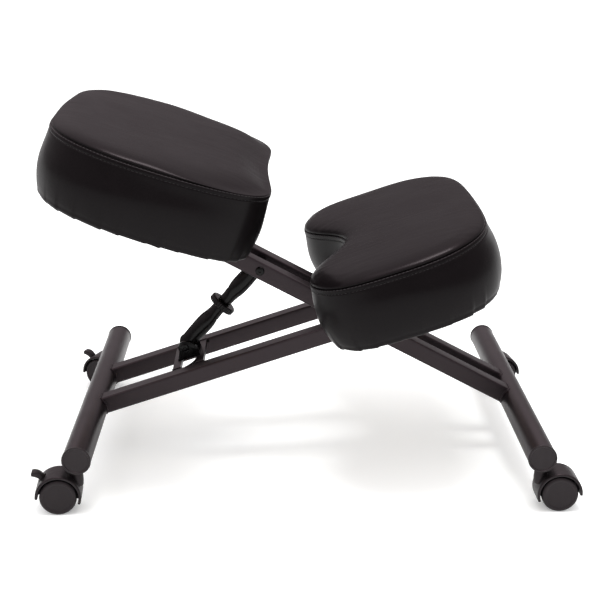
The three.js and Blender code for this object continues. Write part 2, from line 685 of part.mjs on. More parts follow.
// A wheel about its axle, outer face towards +Z.
function wheel() {
  const face = CASTER_HALF_WIDTH;
  const bore = AXLE_RADIUS + GAP;
  return turned([
    [0, AXLE_HALF + GAP], [bore, AXLE_HALF + GAP], [bore, WHEEL_INSIDE], [WHEEL_RADIUS - 1.5, WHEEL_INSIDE],
    [WHEEL_RADIUS, WHEEL_INSIDE + 1.5], [WHEEL_RADIUS, face - 1.5], [WHEEL_RADIUS - 1.5, face], [0, face],
  ]);
}

function stem() {
  const collarTop = BAR_Z - BAR_RADIUS - GAP;
  return turned([
    [0, STEM_BOTTOM], [STEM_TIP_RADIUS, STEM_BOTTOM],
    [STEM_TIP_RADIUS, collarTop - 2.2], [9, collarTop - 2.2],
    [9, collarTop], [STEM_RADIUS, collarTop], [STEM_RADIUS, BAR_Z + 5], [0, BAR_Z + 5],
  ], 16);
}

function addCaster(name, x, y, swivel, withLever) {
  const base = group(chair, x, y, 0);
  piece(base, `${name}_caster_stem`, stem(), zinc());
  const turntable = group(base, 0, 0, 0);
  turntable.rotation.z = swivel;
  piece(turntable, `${name}_caster_hood`, hood(withLever), plastic());
  piece(turntable, `${name}_caster_axle`, rodY(AXLE_RADIUS, -AXLE_HALF, AXLE_HALF, 0, 0, 16), zinc(),
    TRAIL, 0, WHEEL_RADIUS);
  for (const [side, sign] of [['left', 1], ['right', -1]]) {
    const disc = piece(turntable, `${name}_caster_${side}_wheel`, wheel(), plastic(), TRAIL, 0, WHEEL_RADIUS);
    disc.rotation.x = -sign * Math.PI / 2;
  }
  if (withLever) {
    piece(turntable, `${name}_brake_lever`, brakeLever(), plastic(), leverPivot.x, 0, leverPivot.y);
  }
}

// ---------------------------------------------------------------- the chair

addCrossbar('seat_side', -BAR_X);
addCrossbar('knee_side', BAR_X);
addRails();
addMainPivot();
addAdjuster();
addCushions();
const stemX = BAR_X + STEM_OUT;
addCaster('seat_near', -stemX, -CASTER_Y, 184 * DEG, true);
addCaster('seat_far', -stemX, CASTER_Y, 158 * DEG, true);
addCaster('knee_near', stemX, -CASTER_Y, 0, false);
addCaster('knee_far', stemX, CASTER_Y, 8 * DEG, false);

export default chair;
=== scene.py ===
"""A kneeling chair: sewn leatherette pads, powder-coated tube frames, casters and an angle screw."""
import json
from math import atan2, cos, exp, pi, radians, sin, sqrt

import bmesh
import bpy
import numpy as np
from mathutils import Matrix, Vector, noise
from mathutils.bvhtree import BVHTree


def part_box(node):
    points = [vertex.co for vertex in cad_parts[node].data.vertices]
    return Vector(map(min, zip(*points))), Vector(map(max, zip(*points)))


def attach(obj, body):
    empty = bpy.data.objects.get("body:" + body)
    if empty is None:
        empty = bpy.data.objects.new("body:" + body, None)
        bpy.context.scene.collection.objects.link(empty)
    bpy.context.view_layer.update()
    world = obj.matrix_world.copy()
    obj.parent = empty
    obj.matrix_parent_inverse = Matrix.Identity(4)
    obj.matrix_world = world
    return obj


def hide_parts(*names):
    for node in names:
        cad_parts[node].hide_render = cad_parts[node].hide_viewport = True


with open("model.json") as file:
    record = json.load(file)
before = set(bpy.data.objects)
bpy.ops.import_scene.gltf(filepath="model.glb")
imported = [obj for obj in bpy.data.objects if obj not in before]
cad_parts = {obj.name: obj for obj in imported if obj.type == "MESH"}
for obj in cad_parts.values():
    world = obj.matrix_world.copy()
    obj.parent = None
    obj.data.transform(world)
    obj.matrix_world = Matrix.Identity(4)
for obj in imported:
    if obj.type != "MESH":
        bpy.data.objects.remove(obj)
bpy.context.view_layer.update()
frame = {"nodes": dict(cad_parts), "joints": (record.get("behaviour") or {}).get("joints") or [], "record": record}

MM = 0.001
UP = Vector((0, 0, 1))
ACROSS = Vector((0, 1, 0))
TURN = 2 * pi
SIDES = (("near", -1), ("far", 1))
joints = {joint["name"]: joint for joint in frame["joints"]}
mounts = {mount["name"]: mount for mount in frame["record"]["mounts"]}


def pivot_of(joint):
    return Vector(joints[joint]["pos_m"])


def axis_of(joint):
    return Vector(joints[joint]["axis"]).normalized()


def smoothstep(x):
    x = np.clip(x, 0, 1)
    return x * x * (3 - 2 * x)


# ---- camera

CAMERA_AT = Vector((-51.9, -1704.3, 776.0)) * MM
CAMERA_HEADING = 0.02582   # towards +X
CAMERA_DIP = 0.31355       # below the horizon
CAMERA_ROLL = 0.00654
CAMERA_LENS = 72.2


def added(name, data):
    """A new object in the scene."""
    made = bpy.data.objects.new(name, data)
    bpy.context.scene.collection.objects.link(made)
    return made


def add_camera():
    heading = Vector((sin(CAMERA_HEADING), cos(CAMERA_HEADING), 0))
    level = Vector((heading.y, -heading.x, 0))
    forward = heading * cos(CAMERA_DIP) - UP * sin(CAMERA_DIP)
    right = Matrix.Rotation(CAMERA_ROLL, 3, -forward) @ level
    camera = added("camera", bpy.data.cameras.new("camera"))
    camera.data.lens = CAMERA_LENS
    camera.matrix_world = frame_at(CAMERA_AT, -forward, right.cross(forward))
    bpy.context.scene.camera = camera


# ---- materials

def configure(thing, **settings):
    """Sets several properties of a Blender item."""
    for key, value in settings.items():
        setattr(thing, key, value)
    return thing


def feed(tree, socket, value):
    """Links a node's output to a socket, or sets the socket to a plain value."""
    if isinstance(value, bpy.types.NodeSocket):
        tree.links.new(value, socket)
    else:
        socket.default_value = value


def add_node(tree, kind, inputs=(), **settings):
    made = configure(tree.nodes.new(kind), **settings)
    for key, value in dict(inputs).items():
        feed(tree, made.inputs[key], value)
    return made


class Look:
    """A node-based material whose patterns are laid out in the row frame, in metres."""

    def __init__(self, name, **shader):
        self.material = bpy.data.materials.new(name)
        self.material.use_nodes = True
        self.tree = self.material.node_tree
        self.shader = self.tree.nodes["Principled BSDF"]
        self.place = self.tree.nodes.new("ShaderNodeTexCoord").outputs["Object"]
        self.put(**shader)

    def node(self, kind, inputs, **settings):
        return add_node(self.tree, kind, inputs, **settings)

    def turned(self, rotation=(0, 0, 0), scale=(1, 1, 1), vector=None):
        inputs = {"Vector": vector or self.place, "Rotation": rotation, "Scale": scale}
        return self.node("ShaderNodeMapping", inputs).outputs[0]

    def noise(self, size, detail=3, vector=None, distortion=0):
        inputs = {"Vector": vector or self.place, "Scale": 1 / size, "Detail": detail,
                  "Distortion": distortion}
        return self.node("ShaderNodeTexNoise", inputs).outputs["Fac"]

    def cells(self, size, feature="F1"):
        inputs = {"Vector": self.place, "Scale": 1 / size}
        return self.node("ShaderNodeTexVoronoi", inputs, feature=feature).outputs["Distance"]

    def spread(self, value, low, high, start=0.0, end=1.0):
        """A pattern's values from start to end carried to low to high."""
        inputs = {"Value": value, "From Min": start, "From Max": end, "To Min": low, "To Max": high}
        return self.node("ShaderNodeMapRange", inputs).outputs[0]

    def blend(self, share, first, second, start=None, end=None, most=1):
        """A colour from first to second, as a pattern goes from start to end."""
        if start is not None:
            share = self.spread(share, 0, most, start, end)
        inputs = {0: share, 6: first, 7: second}
        return self.node("ShaderNodeMix", inputs, data_type="RGBA").outputs[2]

    def relief(self, height, depth, under=None):
        """A bump depth high, in metres, on top of the relief under it."""
        inputs = {"Height": height, "Distance": depth, "Strength": 1.0}
        if under:
            inputs["Normal"] = under
        return self.node("ShaderNodeBump", inputs).outputs[0]

    def put(self, **sockets):
        for socket, value in sockets.items():
            feed(self.tree, self.shader.inputs[socket.replace("_", " ")], value)
        return self.material


RED_SHEEN = (1, 0.82, 0.88, 1)


def grey(value, warmth=0.0):
    """A grey of the given brightness, its red raised by the warmth."""
    return (value * (1 + warmth), value, value * (1 + warmth * 0.4), 1)


def leatherette():
    """Black faux leather: pebble grain about a millimetre across, with painted shade in the valleys between the
    pebbles and soft cloudy wear.
    """
    look = Look("leatherette", IOR=1.11, Specular_Tint=RED_SHEEN, Coat_Weight=0.11, Coat_Roughness=0.22,
                Coat_Tint=(1, 0.9, 0.93, 1))
    pebbles = look.cells(1.3 * MM, "SMOOTH_F1")
    pores = look.noise(0.45 * MM, 4)
    clouds = look.noise(70 * MM, 4, distortion=0.6)
    creases = look.noise(9 * MM, 5, look.turned(scale=(0.35, 1, 1)), 0.8)
    colour = look.blend(clouds, grey(0.0026, 0.16), grey(0.0036, 0.18), 0.3, 0.7)
    # painted shade: the colour darkens in the grain's valleys, where the pebbles meet and the bump sinks
    colour = look.blend(pebbles, colour, grey(0.0018, 0.1), 0.25, 0.75, 0.5)
    rough = look.spread(clouds, 0.38, 0.46, 0.3, 0.7)
    bumps = look.relief(pores, 0.012 * MM, look.relief(creases, 0.14 * MM))
    bumps = look.relief(pebbles, -0.05 * MM, bumps)
    return look.put(Base_Color=colour, Roughness=rough, Normal=bumps)


def powder_coat():
    """Satin charcoal powder coat with its orange-peel ripple."""
    look = Look("powder_coat", IOR=1.39, Specular_Tint=RED_SHEEN)
    ripple = look.noise(1.6 * MM, 2)
    grit = look.noise(0.3 * MM, 2)
    patches = look.noise(45 * MM, 3)
    colour = look.blend(patches, grey(0.0026, 0.2), grey(0.004, 0.22), 0.3, 0.7)
    colour = look.blend(grit, colour, grey(0.013, 0.15), 0.5, 0.7, 0.3)
    rough = look.spread(patches, 0.38, 0.45, 0.3, 0.7)
    bumps = look.relief(ripple, 0.03 * MM, look.relief(grit, 0.008 * MM))
    return look.put(Base_Color=colour, Roughness=rough, Normal=bumps)


def weld_metal():
    """The same coat over a weld bead, a little lighter and rougher in its ripples."""
    look = Look("coated_weld", IOR=1.36, Specular_Tint=RED_SHEEN)
    lumps = look.noise(1.1 * MM, 4)
    colour = look.blend(lumps, grey(0.006, 0.1), grey(0.01, 0.12), 0.35, 0.65)
    return look.put(Base_Color=colour, Roughness=look.spread(lumps, 0.32, 0.5),
                    Normal=look.relief(lumps, 0.12 * MM))


def moulded_plastic(name, tone, size, low, high):
    """Black moulded nylon with a fine spark texture and faint flow marks."""
    look = Look(name, Specular_IOR_Level=0.22, Specular_Tint=(1, 0.85, 0.9, 1))
    spark = look.noise(size, 3)
    flow = look.noise(14 * MM, 3, look.turned(scale=(1, 1, 0.3)), 1.2)
    scuffs = look.noise(2.4 * MM, 6, look.turned((0.4, 0.9, 0.2), (0.15, 1, 1)), 0.5)
    colour = look.blend(flow, grey(tone, 0.05), grey(tone * 1.35, 0.06), 0.3, 0.7)
    colour = look.blend(scuffs, colour, grey(tone * 2, 0.05), 0.6, 0.72, 0.35)
    bumps = look.relief(spark, 0.03 * MM, look.relief(flow, 0.04 * MM))
    return look.put(Base_Color=colour, Roughness=look.spread(scuffs, low, high, 0.35, 0.7), Normal=bumps)


def black_steel():
    """Oily black-oxide steel for the adjuster."""
    look = Look("black_steel", Specular_IOR_Level=0.13)
    marks = look.noise(3 * MM, 5, look.turned(scale=(1, 1, 0.2)))
    grit = look.noise(0.5 * MM, 3)
    colour = look.blend(marks, grey(0.0012), grey(0.003, 0.05), 0.35, 0.65)
    return look.put(Base_Color=colour, Roughness=look.spread(marks, 0.16, 0.26, 0.3, 0.7),
                    Normal=look.relief(grit, 0.02 * MM))


def zinc_plate():
    """Bright zinc plate with its crystal mottling."""
    look = Look("zinc_plate", Metallic=1.0)
    flakes = look.cells(0.9 * MM)
    haze = look.noise(6 * MM, 4)
    colour = look.blend(flakes, grey(0.5, 0.01), grey(0.66, 0.02), 0, 1)
    return look.put(Base_Color=colour, Roughness=look.spread(haze, 0.25, 0.42, 0.3, 0.7),
                    Normal=look.relief(flakes, 0.02 * MM))


def thread():
    """Bonded black thread with its ply twist."""
    look = Look("thread", Specular_IOR_Level=0.3)
    twist = look.noise(0.35 * MM, 2)
    colour = look.blend(twist, grey(0.008), grey(0.026, 0.1))
    return look.put(Base_Color=colour, Roughness=look.spread(twist, 0.4, 0.6),
                    Normal=look.relief(twist, 0.05 * MM))


PLY = 1.5                  # thickness of one layer


def plywood(name, tilt):
    """Birch ply: long grain on the faces and thin layers on the edges. tilt turns it level."""
    look = Look(name, Specular_IOR_Level=0.3)
    level = look.turned((0, tilt, 0))
    grain = look.noise(3 * MM, 6, look.turned(scale=(1, 0.06, 1), vector=level), 0.4)
    plies = look.node("ShaderNodeTexWave", {
        "Vector": level, "Scale": 1 / (20 * PLY * MM), "Distortion": 0.3, "Detail": 2},
        bands_direction="Z").outputs["Fac"]
    colour = look.blend(grain, (0.42, 0.27, 0.14, 1), (0.56, 0.39, 0.22, 1), 0.35, 0.65)
    colour = look.blend(plies, colour, (0.24, 0.14, 0.07, 1), 0.4, 0.6, 0.4)
    return look.put(Base_Color=colour, Roughness=look.spread(grain, 0.55, 0.75),
                    Normal=look.relief(grain, 0.06 * MM))


LEATHER = leatherette()
PAINT = powder_coat()
WELD = weld_metal()
CAP_PLASTIC = moulded_plastic("cap_plastic", 0.0085, 0.5 * MM, 0.38, 0.5)
CASTER_PLASTIC = moulded_plastic("caster_plastic", 0.006, 0.4 * MM, 0.36, 0.48)
STEEL = black_steel()
ZINC = zinc_plate()
THREAD = thread()


# ---- mesh tools

TIDY = 0.001 * MM          # points closer than this are one point
SIDEWAYS = Matrix.Rotation(pi / 2, 4, "X")    # lays a shape's own Z across the chair


def finished(name, mesh, material, body, stands_for=None, crease=35):
    """One piece of the object: shaded, painted and riding on its body."""
    mesh.name = name
    mesh.materials.clear()
    mesh.materials.append(material)
    mesh.shade_smooth()
    mesh.set_sharp_from_angle(angle=radians(crease))
    piece = added(name, mesh)
    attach(piece, body)
    if stands_for:
        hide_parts(stands_for)
    return piece


def mesh_from(points, faces):
    """A tidy mesh: doubled points are merged and the faces look outwards."""
    mesh = bpy.data.meshes.new("part")
    mesh.from_pydata([tuple(p) for p in points], [], faces)
    work = bmesh.new()
    work.from_mesh(mesh)
    bmesh.ops.remove_doubles(work, verts=work.verts, dist=TIDY)
    bmesh.ops.dissolve_degenerate(work, edges=work.edges, dist=TIDY)
    bmesh.ops.recalc_face_normals(work, faces=work.faces)
    work.to_mesh(mesh)
    work.free()
    return mesh


def placed(mesh, place):
    mesh.transform(place)
    return mesh


def grid_faces(rows, columns, around=True, first=0, closed=False):
    """Quads between rows of points. around closes each row on itself, closed the last on the first."""
    faces = []
    for row in range(rows if closed else rows - 1):
        low = first + row * columns
        high = first + (row + 1) % rows * columns
        for a in range(columns if around else columns - 1):
            b = (a + 1) % columns
            faces.append((low + a, low + b, high + b, high + a))
    return faces


def capped_faces(rows, columns, first=0):
    """Quads between rows of points, with a flat face over the first and the last row."""
    caps = [range(start, start + columns) for start in (first, first + (rows - 1) * columns)]
    return grid_faces(rows, columns, first=first) + [tuple(cap) for cap in caps]


def revolved(profile, steps=96, start=0.0, sweep=TURN):
    """A profile of [radius, height] in mm turned about Z. A part turn gets flat ends."""
    whole = abs(sweep - TURN) < 1e-6
    columns = steps if whole else steps + 1
    closed = profile[0] == profile[-1]
    profile = profile[:-1] if closed else profile
    angles = [start + sweep * i / steps for i in range(columns)]
    points = [(r * cos(a) * MM, r * sin(a) * MM, z * MM) for r, z in profile for a in angles]
    faces = grid_faces(len(profile), columns, whole, closed=closed)
    if not whole:
        for end in (0, columns - 1):
            faces.append([row * columns + end for row in range(len(profile))])
    return mesh_from(points, faces)


def cylinder(radius, low, high, steps=40):
    """A solid cylinder about Z, in mm."""
    return revolved([(0, low), (radius, low), (radius, high), (0, high)], steps)


def fillet(profile, radius, steps=4):
    """Rounds the corners of an open or closed [radius, height] profile, apart from those on the axis."""
    closed = profile[0] == profile[-1]
    corners = [Vector(p) for p in (profile[:-1] if closed else profile)]
    count = len(corners)
    rounded = []
    for i, corner in enumerate(corners):
        on_end = not closed and i in (0, count - 1)
        before = corners[i - 1] - corner
        after = corners[(i + 1) % count] - corner
        if on_end or before.angle(after) > radians(170):
            rounded.append(corner)
            continue
        reach = min(radius, before.length * 0.45, after.length * 0.45)
        start = corner + before.normalized() * reach
        end = corner + after.normalized() * reach
        for k in range(steps + 1):
            t = k / steps
            rounded.append(start * (1 - t) ** 2 + corner * 2 * t * (1 - t) + end * t * t)
    if closed:
        rounded.append(rounded[0])
    return [tuple(p) for p in rounded]


def rectangle(left, bottom, right, top):
    return [(left, bottom), (right, bottom), (right, top), (left, top)]


def extruded(outline, low, high, chamfer=0.0, axes=(0, 2, 1)):
    """An outline in mm carried between two heights, with softened rims.

    axes says where u, v and height go.
    """
    loop = [Vector(p) for p in outline]
    count = len(loop)
    pairs = list(zip(loop, loop[1:] + loop[:1]))
    area = sum(a.x * b.y - b.x * a.y for a, b in pairs)
    outward = []
    for i in range(count):
        way = (loop[(i + 1) % count] - loop[i - 1]).normalized()
        outward.append(Vector((way.y, -way.x)) * (1 if area > 0 else -1))
    levels = [(low, chamfer), (low + chamfer * 0.3, chamfer * 0.3), (low + chamfer, 0)]
    levels += [(high - chamfer, 0), (high - chamfer * 0.3, chamfer * 0.3), (high, chamfer)]
    if not chamfer:
        levels = [(low, 0), (high, 0)]
    points = []
    for height, inset in levels:
        for point, normal in zip(loop, outward):
            flat = point - normal * inset
            spot = [0, 0, 0]
            spot[axes[0]], spot[axes[1]], spot[axes[2]] = flat.x * MM, flat.y * MM, height * MM
            points.append(spot)
    return mesh_from(points, capped_faces(len(levels), count))


def evaluated(piece):
    bpy.context.view_layer.update()
    graph = bpy.context.evaluated_depsgraph_get()
    return bpy.data.meshes.new_from_object(piece.evaluated_get(graph))


def with_modifiers(mesh, *modifiers):
    """The mesh after modifiers given as (kind, settings)."""
    piece = added("working", mesh)
    for kind, settings in modifiers:
        configure(piece.modifiers.new(kind.lower(), kind), **settings)
    result = evaluated(piece)
    bpy.data.objects.remove(piece)
    return result


def combined(mesh, tools, operation):
    """A closed mesh joined with, or cut by, other closed meshes one after the other."""
    for tool in tools:
        other = added("tool", tool)
        settings = {"object": other, "operation": operation, "solver": "EXACT"}
        mesh = with_modifiers(mesh, ("BOOLEAN", settings))
        bpy.data.objects.remove(other)
    return mesh


def union(mesh, *tools):
    return combined(mesh, tools, "UNION")


def cut(mesh, *tools):
    return combined(mesh, tools, "DIFFERENCE")


def joined(*meshes):
    """Several closed meshes as one."""
    work = bmesh.new()
    for mesh in meshes:
        work.from_mesh(mesh)
    result = bpy.data.meshes.new("part")
    work.to_mesh(result)
    work.free()
    return result


def beveled(mesh, width, angle, segments):
    return with_modifiers(mesh, ("BEVEL", {
        "width": width * MM, "segments": segments, "limit_method": "ANGLE",
        "angle_limit": radians(angle), "harden_normals": False}))


def frame_at(origin, z, y):
    """A frame with its Z along z and its Y as near as can be to y."""
    z = Vector(z).normalized()
    x = Vector(y).cross(z).normalized()
    place = Matrix((x, z.cross(x), z)).transposed().to_4x4()
    place.translation = Vector(origin)
    return place


def polish(node, material, round_edges=0.0):
    """A CAD node that stays: its faceted edges are softened by modifiers and it gets its material."""
    piece = frame["nodes"][node]
    configure(piece.modifiers.new("weld", "WELD"), merge_threshold=2 * TIDY)
    if round_edges:
        configure(piece.modifiers.new("bevel", "BEVEL"), width=round_edges * MM, segments=2,
                  limit_method="ANGLE", angle_limit=radians(50))
    piece.data.shade_smooth()
    configure(piece.modifiers.new("normals", "WEIGHTED_NORMAL"), weight=100, keep_sharp=False)
    if not piece.material_slots:
        piece.data.materials.append(material)
    for slot in piece.material_slots:
        slot.material = material


# ---- pads

# Each pad, in mm. side: underside to seam; top: underside to the mount; rise and dome: the crown;
# drop: how far the crown's front edge sinks; bulge: how far the side stands out, and flat_front the
# share of it lost in front; droop: how far the rim hangs below the board
SHAPES = {
    "seat": {"side": 93, "top": 106, "rise": 10.0, "dome": 3.0, "drop": 9.5, "bulge": 6.0,
             "flat_front": 0.35, "droop": 0},
    "knee": {"side": 89, "top": 102, "rise": 10.4, "dome": 3.4, "drop": 0.0, "bulge": 8.0,
             "flat_front": 0.0, "droop": 3},
}
PAD_STEPS = 480            # points round a pad
WRAP_STEPS, FOLD_STEPS, SIDE_STEPS, ROLL_STEPS, TOP_STEPS = 12, 8, 25, 30, 72
FINE_STEP = 0.5            # spacing of the rings near the seam
POCKET = 12.3              # the board's pocket
BOARD_SHARE = 0.942        # the pocket's outline over the pad's
WRAP_REACH = 30            # cover turned in over the board
WRAP_TOP = -0.3
WRAP_BOTTOM = -1.3
TAPER = 3.2                # how far the foot of the side stands in
FOLD = 7                   # radius of the lower edge
ROLL = 22                  # how far in the top panel's soft edge reaches
TOPSTITCH = 7              # second stitch line, below the seam
SEAM_DEPTH, SEAM_WIDTH = 1.8, 0.95
TOPSTITCH_DEPTH, TOPSTITCH_WIDTH = 0.8, 0.8
RIDGE = 0.7                # the rise between the two
PUCKER = 0.02
STITCH = 4.4
STITCH_GAP = 0.9
THREAD_RADIUS = 0.42


def pad_place(mount, thickness):
    """The frame on a pad's underside: X forward, Z along the pad's normal."""
    normal = Vector(mount["axis"]).normalized()
    return frame_at(Vector(mount["pos_m"]) - normal * thickness * MM, normal, ACROSS)


def travelled(loop):
    """A closed loop of points with its start repeated, and how far along it each one lies."""
    ends = np.vstack([loop, loop[:1]])
    return ends, np.concatenate([[0], np.cumsum(np.linalg.norm(np.diff(ends, axis=0), axis=1))])


def resampled(loop, count):
    """A closed loop of points as evenly spaced ones."""
    ends, reach = travelled(loop)
    wanted = np.linspace(0, reach[-1], count, endpoint=False)
    return np.stack([np.interp(wanted, reach, ends[:, k]) for k in range(2)], 1)


def smooth_outline(node, place, seam):
    """The CAD pad's outline at its seam, made smooth, as [forward, sideways] in mm."""
    inverse = place.inverted()
    spots = [inverse @ v.co / MM for v in frame["nodes"][node].data.vertices]
    ring = {(round(p.x, 2), round(p.y, 2)) for p in spots if abs(p.z - seam) < 0.1}
    loop = np.array(sorted(ring, key=lambda p: atan2(p[1], p[0])))
    curve = []
    count = len(loop)
    for i in range(count):
        a, b, c, d = (loop[(i + k) % count] for k in (-1, 0, 1, 2))
        for t in np.linspace(0, 1, 24, endpoint=False):
            curve.append(0.5 * (2 * b + (c - a) * t + (2 * a - 5 * b + 4 * c - d) * t ** 2
                                + (3 * b - a - 3 * c + d) * t ** 3))
    even = resampled(np.array(curve), PAD_STEPS)
    reach = 4
    offsets = range(-2 * reach, 2 * reach + 1)
    kernel = [exp(-(k / reach) ** 2) for k in offsets]
    soft = sum(weight * np.roll(even, k, axis=0) for k, weight in zip(offsets, kernel)) / sum(kernel)
    return resampled(soft, PAD_STEPS)


def outline_normals(loop):
    way = np.roll(loop, -1, axis=0) - np.roll(loop, 1, axis=0)
    way /= np.linalg.norm(way, axis=1)[:, None]
    return np.stack([way[:, 1], -way[:, 0]], 1)


def pad_rings(seam, droop):
    """Rings (zone, share, inset, height) from the pocket's middle, round the lower edge, to the crown."""
    low = WRAP_BOTTOM - droop
    rings = [("pocket", share, 0, POCKET) for share in (0, 0.5, 0.9)]
    rings += [("pocket", BOARD_SHARE, 0, height) for height in (POCKET - 0.4, POCKET / 2, 0.5)]
    rings += [("wrap", 1, inset, WRAP_TOP) for inset in (20, WRAP_REACH)]
    for inset in np.linspace(WRAP_REACH, TAPER + FOLD, WRAP_STEPS):
        rings.append(("wrap", 1, inset, WRAP_BOTTOM - droop * float(smoothstep((26 - inset) / 14))))
    for angle in np.linspace(0, pi / 2, FOLD_STEPS + 1)[1:]:
        inset = TAPER + FOLD * (1 - sin(angle))
        rings.append(("fold", 1, inset, low + FOLD * (1 - cos(angle))))
    foot = low + FOLD
    near_seam = seam - TOPSTITCH - 3
    heights = [*np.linspace(foot, near_seam, SIDE_STEPS + 1)[1:],
               *np.arange(near_seam + FINE_STEP, seam + 0.01, FINE_STEP)]
    for height in heights:
        share = (height - foot) / (seam - foot)
        rings.append(("side", 1, TAPER * (1 - share) ** 2, height))
    for step in range(1, ROLL_STEPS + 1):
        rings.append(("top", 1, ROLL * (step / ROLL_STEPS) ** 1.6, None))
    for step in range(1, TOP_STEPS + 1):
        rings.append(("top", 1 - step / TOP_STEPS, ROLL, None))
    return rings


def edge_distance(spots, loop):
    """How far inside the outline each spot lies, found a batch at a time."""
    coarse = loop[::2]
    flat = spots.reshape(-1, 2)
    best = np.zeros(len(flat))
    batch = 4000
    for start in range(0, len(flat), batch):
        gap = flat[start:start + batch, None, :] - coarse[None]
        best[start:start + batch] = np.sqrt((gap ** 2).sum(2).min(1))
    return best.reshape(spots.shape[:2])


def pad_surface(loop, shape):
    """The plain closed form of a pad as a grid of points [ring, round, xyz] in mm, with its rings."""
    seam = shape["side"]
    rings = pad_rings(seam, shape["droop"])
    normals = outline_normals(loop)
    foot = WRAP_BOTTOM - shape["droop"] + FOLD
    front = smoothstep((loop[:, :1] - 80) / 55)
    swell = shape["bulge"] * (1 - shape["flat_front"] * front)
    grid = np.zeros((len(rings), PAD_STEPS, 3))
    for row, (zone, share, inset, height) in enumerate(rings):
        up = np.clip(((height or 0) - foot) / (seam - foot), 0, 1) if zone == "side" else 0
        out = swell * sin(pi * up ** 0.8)
        grid[row, :, :2] = (loop - normals * (inset - out)) * share
        grid[row, :, 2] = height or 0
    top = np.array([zone == "top" for zone, *_ in rings])
    far = 1e9
    insets = np.array([inset if share == 1 else far for zone, share, inset, _ in rings if zone == "top"])
    depth = np.minimum(edge_distance(grid[top][..., :2], loop), insets[:, None])
    roll = np.sqrt(np.clip(1 - (1 - np.clip(depth / ROLL, 0, 1)) ** 2, 0, 1))
    dome = 1 - np.exp(-np.clip(depth - 3, 0, None) / 42)
    forward = smoothstep((grid[top][..., 0] + 20) / 150)
    edge = np.exp(-(depth / 38) ** 2)
    crown = (shape["rise"] - shape["drop"] * forward * edge) * roll
    grid[top, :, 2] = seam + crown + shape["dome"] * dome
    return grid, rings


SIM_VOXEL = 5.5
SIM_FRAMES = 20
SIM_CAP = 1.2              # the furthest that a point may swell
SEAM_HOLD = 14             # the sewn edge holds the cover in this far around it
SIM_STRIDE = 6             # the simulation sees every sixth column
ROW_EDGES = ((1, 1), (0, 0), (0, 0))    # one more row at either end
CLOTH = {
    "quality": 6, "mass": 0.35, "tension_stiffness": 18, "compression_stiffness": 12,
    "shear_stiffness": 8, "bending_stiffness": 1.5, "use_pressure": True,
    "uniform_pressure_force": 4, "vertex_group_mass": "held",
}


def simulated(piece):
    """How far each vertex of a piece moves under pressure, capped, in metres."""
    rest = np.array([v.co for v in piece.data.vertices])
    cloth = piece.modifiers.new("cloth", "CLOTH")
    configure(cloth.settings, **CLOTH)
    cloth.settings.effector_weights.gravity = 0
    configure(cloth.point_cache, frame_start=1, frame_end=SIM_FRAMES)
    for number in range(1, SIM_FRAMES + 1):
        bpy.context.scene.frame_set(number)
    moved = np.array([v.co for v in evaluated(piece).vertices]) - rest
    bpy.context.scene.frame_set(1)
    length = np.linalg.norm(moved, axis=1)
    cap = SIM_CAP * MM
    return moved * (cap * np.tanh(length / cap) / np.maximum(length, 1e-9))[:, None]


def swollen(grid, zones):
    """How far pressure in the cover moves each point of a pad, in mm, by a cloth simulation."""
    sparse = grid[:, ::SIM_STRIDE]
    rows, columns = sparse.shape[:2]
    mesh = mesh_from(sparse.reshape(-1, 3) * MM, grid_faces(rows, columns))
    mesh = with_modifiers(mesh, ("REMESH", {"mode": "VOXEL", "voxel_size": SIM_VOXEL * MM}))
    rest = np.array([v.co for v in mesh.vertices])
    faces = [tuple(p.vertices) for p in mesh.polygons]
    piece = added("swelling", mesh)
    held = piece.vertex_groups.new(name="held")
    held.add([i for i, p in enumerate(rest) if p[2] < FOLD * MM], 1.0, "REPLACE")
    moved = simulated(piece)
    bpy.data.objects.remove(piece)
    tree = BVHTree.FromPolygons([tuple(p) for p in rest], faces)
    field = np.zeros_like(sparse)
    for row, column in np.ndindex(rows, columns):
        spot, _, index, _ = tree.find_nearest(Vector(sparse[row, column] * MM))
        corners = list(faces[index])
        gaps = np.linalg.norm(rest[corners] - np.array(spot), axis=1) + 0.2 * MM
        field[row, column] = np.average(moved[corners], axis=0, weights=1 / gaps)
    field /= MM
    field[[zone in ("pocket", "wrap") for zone in zones]] = 0
    return spread_round(field)


def spread_round(field):
    """A sparse field smoothed along both ways and spread over all columns."""
    for _ in range(6):
        field = (np.roll(field, 1, axis=1) + 2 * field + np.roll(field, -1, axis=1)) / 4
        padded = np.pad(field, ROW_EDGES, "edge")
        field = (padded[:-2] + 2 * field + padded[2:]) / 4
    share = (np.arange(PAD_STEPS) % SIM_STRIDE / SIM_STRIDE)[None, :, None]
    low = np.repeat(field, SIM_STRIDE, axis=1)
    high = np.repeat(np.roll(field, -1, axis=1), SIM_STRIDE, axis=1)
    return low * (1 - share) + high * share


def grid_normals(grid):
    """Outward normals of a closed grid of points."""
    round_way = np.roll(grid, -1, axis=1) - np.roll(grid, 1, axis=1)
    padded = np.pad(grid, ROW_EDGES, "edge")
    up_way = padded[2:] - padded[:-2]
    normals = np.cross(round_way, up_way)
    return normals / np.maximum(np.linalg.norm(normals, axis=2), 1e-9)[..., None]


def pleats(seed):
    """Gathers along the stapled edge: each rises slowly and drops off sharply, in mm."""
    chance = np.random.default_rng(seed)
    shortest, longest = 7, 17
    heights = np.zeros(PAD_STEPS)
    start = 0
    while start < PAD_STEPS:
        length = min(int(chance.uniform(shortest, longest)), PAD_STEPS - start)
        ramp = np.linspace(0, 1, length) ** 1.5
        heights[start:start + length] = ramp * chance.uniform(0.5, 1.5)
        start += length
    return heights


def seam_distance(grid, zones):
    """How far each ring lies from the seam along the cover; below it is negative."""
    step = np.linalg.norm(np.diff(grid, axis=0), axis=2).mean(1)
    travel = np.concatenate([[0], np.cumsum(step)])
    return travel - travel[zones.index("top") - 1]


